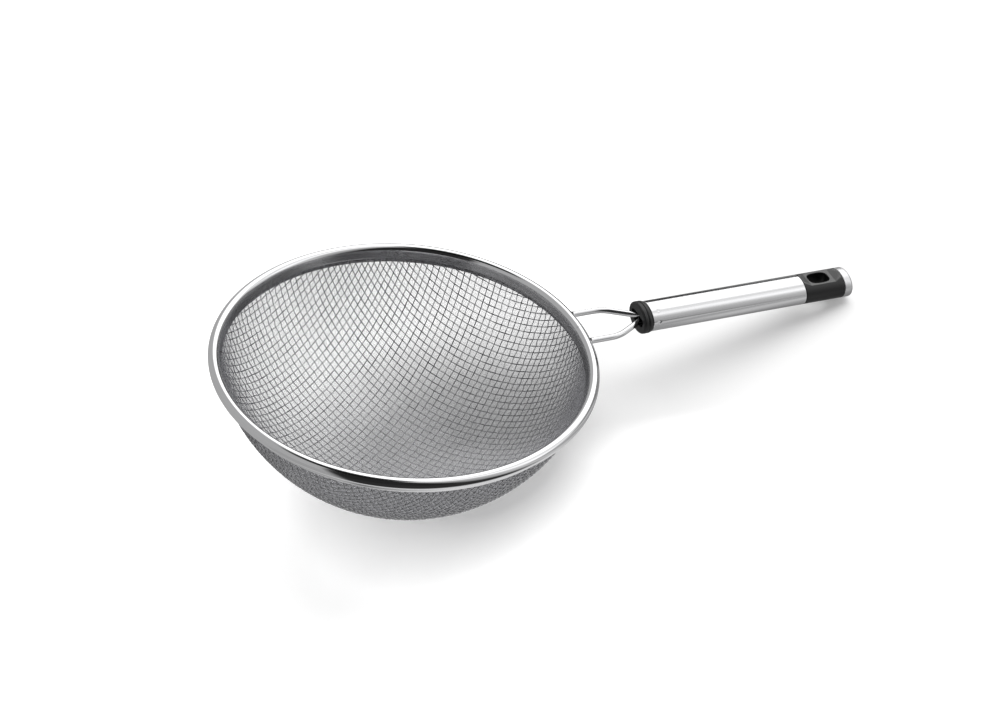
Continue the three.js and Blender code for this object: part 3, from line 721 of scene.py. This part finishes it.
tail = tail_rows()
tail_faces, tail_places = grid_faces(*tail.shape[:2], close_columns=True)
around = 4 * SIDE_STEPS
last_row = (len(tail) - 1) * around
cap_side, tube_side = np.arange(0, SIDE_STEPS + 1), np.arange(2 * SIDE_STEPS, 3 * SIDE_STEPS + 1)
tail_ends = [np.concatenate([k[::-1], last_row + k]) for k in (cap_side, tube_side)]
put_piece("tail", tail, tail_faces, tail_places, tail_finish, "tail_piece", ends=tail_ends)


# End cap: a pressed button of satin steel that closes the handle. A boss behind it plugs into the tail
# piece.
CAP_START = 253.8
CAP_END = 259.0
CAP_EDGE = 1.8
BOSS_LENGTH = 3.0
BOSS_HALF_WIDTH = 4.0
BOSS_HALF_HEIGHT = 2.5
CAP_SIDE = (0.3, 0.4, 0.6, 1.6, 2.6)
CAP_FACE = ((6.4, 4.1), (4.0, 2.6), (1.5, 1.0), (0.2, 0.13))
CAP_LIGHT = (0.82, 0.82, 0.83)
CAP_BRUSH = (400, 3000, 400)
CAP_BRUSH_DEPTH = 0.000002
CAP_ROUGH = (0.3, 0.38)

cap_finish, cap_tree, cap_shader = new_finish("brushed_cap", (0.78, 0.78, 0.79), 1.0, 0.25)
cap_place = cap_tree.nodes.new("ShaderNodeTexCoord").outputs["Object"]
cap_brush = add_noise(cap_tree, cap_place, CAP_BRUSH)
cap_tree.links.new(add_range(cap_tree, cap_brush, *CAP_ROUGH), cap_shader.inputs["Roughness"])
cap_tree.links.new(add_tones(cap_tree, cap_brush, STEEL_DARK, CAP_LIGHT), cap_shader.inputs["Base Color"])
add_bump(cap_tree, cap_shader, cap_brush, CAP_BRUSH_DEPTH)

cap_stations = [
    (CAP_START - BOSS_LENGTH, BOSS_HALF_WIDTH, BOSS_HALF_HEIGHT, 2),
    (CAP_START, BOSS_HALF_WIDTH, BOSS_HALF_HEIGHT, 2),
    (CAP_START, HANDLE_HALF_WIDTH - 0.3, HANDLE_HALF_HEIGHT - 0.3, 2),
    *[(CAP_START + d, HANDLE_HALF_WIDTH, HANDLE_HALF_HEIGHT, 2) for d in CAP_SIDE],
    *rounded(CAP_END - CAP_EDGE, HANDLE_HALF_WIDTH - CAP_EDGE, HANDLE_HALF_HEIGHT - CAP_EDGE, CAP_EDGE,
             90, 0, 2, 16),
    *[(CAP_END, a, b, 2) for a, b in CAP_FACE],
]
put_oval("cap", oval_rings(cap_stations), cap_finish, "end_cap")


# Stage: a white floor that shows white in the picture and keeps the soft shadow, which a glow fades away
# from the bowl. In reflections it shows the tones of the room that stands on it: pale close in front of the
# bowl, dark further towards the viewer and behind to the right, and grey to the left.
FLOOR_HALF = 2.5
FLOOR_WHITE = 0.8
FLOOR_DROP = 0.0002
FLOOR_GLOW = 0.13
BOWL_PLACE = (-0.0568, 0.0, 0.0)
FLOOR_TONES = ((-180, 0.4), (-150, 0.4), (-142, 0.03), (-72, 0.03), (-60, 0.35), (-54, 0.6), (-44, 0.6),
               (-32, 0.4), (-24, 0.42), (-14, 0.62), (-9, 0.56), (-5, 0.36), (-2, 0.24), (30, 0.26),
               (45, 0.05), (72, 0.05), (80, 0.45), (180, 0.45))
NEAR_TONES = ((-180, 0.55), (-150, 0.78), (-60, 0.78), (-22, 0.35), (22, 0.35), (40, 0.3), (150, 0.3),
              (180, 0.55))
NEAR_REACH = (0.125, 0.17)
GLOW_TONES = ((-180, 0.46), (-145, 0.45), (-116, 0.65), (-85, 0.84), (-38, 0.82), (-18, 0.15),
              (18, 0.15), (40, 0.6), (180, 0.46))
GLOW_REACH = (0.05, 0.105)


def add_tones_round(tree, way, tones):
    """The brightness of the room by compass direction: a ramp over the angle of the direction about Z, from
    stops of an angle in degrees, with 0 along the handle, and a brightness."""
    compass = tree.nodes.new("ShaderNodeTexGradient")
    compass.gradient_type = "RADIAL"
    tree.links.new(way, compass.inputs["Vector"])
    ramp = tree.nodes.new("ShaderNodeValToRGB")
    stops = ramp.color_ramp.elements
    for number, (angle, tone) in enumerate(tones):
        stop = stops[number] if number < 2 else stops.new(1.0)
        stop.position = angle / 360 + 0.5
        stop.color = (tone, tone, tone, 1)
    tree.links.new(compass.outputs["Fac"], ramp.inputs["Fac"])
    return ramp.outputs["Color"]


floor_mesh = bpy.data.meshes.new("floor")
floor_mesh.from_pydata(
    [(-FLOOR_HALF, -FLOOR_HALF, 0), (FLOOR_HALF, -FLOOR_HALF, 0), (FLOOR_HALF, FLOOR_HALF, 0),
     (-FLOOR_HALF, FLOOR_HALF, 0)], [], [(0, 1, 2, 3)])
floor = bpy.data.objects.new("floor", floor_mesh)
bpy.context.scene.collection.objects.link(floor)
floor.location.z = -FLOOR_DROP
floor_finish, floor_tree, floor_shader = new_finish("white_floor", (FLOOR_WHITE,) * 3, 0.0, 0.9)
floor_shader.inputs["Specular IOR Level"].default_value = 0.0
floor_shader.inputs["Emission Color"].default_value = (1, 1, 1, 1)
floor_path = floor_tree.nodes.new("ShaderNodeLightPath")
from_bowl = floor_tree.nodes.new("ShaderNodeVectorMath")
from_bowl.operation = "SUBTRACT"
from_bowl.inputs[1].default_value = BOWL_PLACE
floor_tree.links.new(floor_tree.nodes.new("ShaderNodeTexCoord").outputs["Object"], from_bowl.inputs[0])
floor_way = from_bowl.outputs["Vector"]
floor_reach = floor_tree.nodes.new("ShaderNodeVectorMath")
floor_reach.operation = "LENGTH"
floor_tree.links.new(floor_way, floor_reach.inputs[0])
far_glow = floor_tree.nodes.new("ShaderNodeMath")
far_glow.operation = "MULTIPLY_ADD"
floor_far = add_range(floor_tree, floor_reach.outputs["Value"], 0.0, 1.0, *GLOW_REACH)
floor_tree.links.new(floor_far, far_glow.inputs[0])
floor_tree.links.new(add_tones_round(floor_tree, floor_way, GLOW_TONES), far_glow.inputs[1])
far_glow.inputs[2].default_value = FLOOR_GLOW
floor_glow = floor_tree.nodes.new("ShaderNodeMath")
floor_glow.operation = "MULTIPLY"
floor_tree.links.new(floor_path.outputs["Is Camera Ray"], floor_glow.inputs[0])
floor_tree.links.new(far_glow.outputs[0], floor_glow.inputs[1])
floor_tree.links.new(floor_glow.outputs[0], floor_shader.inputs["Emission Strength"])
floor_mirror = floor_tree.nodes.new("ShaderNodeEmission")
floor_seen = floor_tree.nodes.new("ShaderNodeMix")
floor_seen.data_type = "RGBA"
floor_tree.links.new(add_tones_round(floor_tree, floor_way, NEAR_TONES), floor_seen.inputs["A"])
floor_tree.links.new(add_tones_round(floor_tree, floor_way, FLOOR_TONES), floor_seen.inputs["B"])
floor_past = add_range(floor_tree, floor_reach.outputs["Value"], 0.0, 1.0, *NEAR_REACH)
floor_tree.links.new(floor_past, floor_seen.inputs["Factor"])
floor_tree.links.new(floor_seen.outputs["Result"], floor_mirror.inputs["Color"])
floor_mix = floor_tree.nodes.new("ShaderNodeMixShader")
floor_tree.links.new(floor_path.outputs["Is Glossy Ray"], floor_mix.inputs["Fac"])
floor_tree.links.new(floor_shader.outputs["BSDF"], floor_mix.inputs[1])
floor_tree.links.new(floor_mirror.outputs["Emission"], floor_mix.inputs[2])
floor_tree.links.new(floor_mix.outputs["Shader"], floor_tree.nodes["Material Output"].inputs["Surface"])
floor_mesh.materials.append(floor_finish)


# Light: a broad soft lamp from the back right and an even fill. A room that shows only in reflections, with
# bright white panels to the right, grey to the left and dark round the viewer, draws the lines on the steel.
ROOM_FILL = 0.3
ROOM_TONES = ((-180, 0.46), (-150, 0.46), (-142, 0.02), (-76, 0.02), (-66, 0.3), (-60, 0.42), (-52, 0.5),
              (-46, 0.56), (-41, 0.66), (-35, 0.95), (-28, 1.25), (-18, 1.25), (-8, 0.95), (6, 0.85),
              (20, 1.6), (66, 1.6), (70, 1.2), (76, 0.46), (180, 0.46))
WALLS_FROM = (0.12, 0.14)
CEILING_FROM = (0.93, 0.95)
CEILING_TONE = 0.04
LAMP_WAY = (0.5, 0.37, 0.78)
LAMP_SPREAD = np.radians(70.0)
LAMP_POWER = 2.75

world = bpy.data.worlds.new("studio")
bpy.context.scene.world = world
world.use_nodes = True
room = world.node_tree
room_light = room.nodes["Background"]
room_way = room.nodes.new("ShaderNodeTexCoord").outputs["Generated"]
room_tones = add_tones_round(room, room_way, ROOM_TONES)
room_height = room.nodes.new("ShaderNodeSeparateXYZ")
room.links.new(room_way, room_height.inputs["Vector"])
room_walls = add_range(room, room_height.outputs["Z"], 1.0, CEILING_TONE, *CEILING_FROM)
room_skirting = room.nodes.new("ShaderNodeMix")
room_skirting.data_type = "RGBA"
room_above = add_range(room, room_height.outputs["Z"], 0.0, 1.0, *WALLS_FROM)
room.links.new(room_above, room_skirting.inputs["Factor"])
room.links.new(add_tones_round(room, room_way, FLOOR_TONES), room_skirting.inputs["A"])
room.links.new(room_tones, room_skirting.inputs["B"])
room_seen = room.nodes.new("ShaderNodeMix")
room_seen.data_type = "RGBA"
room_seen.blend_type = "MULTIPLY"
room_seen.inputs["Factor"].default_value = 1.0
room.links.new(room_skirting.outputs["Result"], room_seen.inputs["A"])
room.links.new(room_walls, room_seen.inputs["B"])
room_choice = room.nodes.new("ShaderNodeMix")
room_choice.data_type = "RGBA"
room_path = room.nodes.new("ShaderNodeLightPath")
room.links.new(room_path.outputs["Is Glossy Ray"], room_choice.inputs["Factor"])
room_choice.inputs["A"].default_value = (ROOM_FILL, ROOM_FILL, ROOM_FILL, 1)
room.links.new(room_seen.outputs["Result"], room_choice.inputs["B"])
room_backdrop = room.nodes.new("ShaderNodeMix")
room_backdrop.data_type = "RGBA"
room_backdrop.inputs["B"].default_value = (1, 1, 1, 1)
room.links.new(room_path.outputs["Is Camera Ray"], room_backdrop.inputs["Factor"])
room.links.new(room_choice.outputs["Result"], room_backdrop.inputs["A"])
room.links.new(room_backdrop.outputs["Result"], room_light.inputs["Color"])

lamp_light = bpy.data.lights.new("lamp", "SUN")
lamp_light.angle = LAMP_SPREAD
lamp_light.energy = LAMP_POWER
lamp = bpy.data.objects.new("lamp", lamp_light)
bpy.context.scene.collection.objects.link(lamp)
lamp.matrix_world = Vector(LAMP_WAY).to_track_quat("Z", "Y").to_matrix().to_4x4()
lamp.visible_glossy = False


# Camera: a long lens above the front left, turned a little so that the handle rises to the right. Colours
# are shown as they are.
CAMERA_LENS = 84.745
CAMERA_SENSOR = 36.0
CAMERA_PLACE = (-0.2465, -0.8694, 0.8904)
VIEW_RIGHT = Vector((0.9104, -0.3819, -0.1592))
VIEW_UP = Vector((0.3733, 0.5921, 0.7142))

camera_data = bpy.data.cameras.new("camera")
camera_data.lens = CAMERA_LENS
camera_data.sensor_fit = "HORIZONTAL"
camera_data.sensor_width = CAMERA_SENSOR
camera = bpy.data.objects.new("camera", camera_data)
bpy.context.scene.collection.objects.link(camera)
view_axes = Matrix((VIEW_RIGHT, VIEW_UP, VIEW_RIGHT.cross(VIEW_UP))).transposed()
camera.matrix_world = Matrix.Translation(CAMERA_PLACE) @ view_axes.to_4x4()
bpy.context.scene.camera = camera
bpy.context.scene.view_settings.view_transform = "Standard"
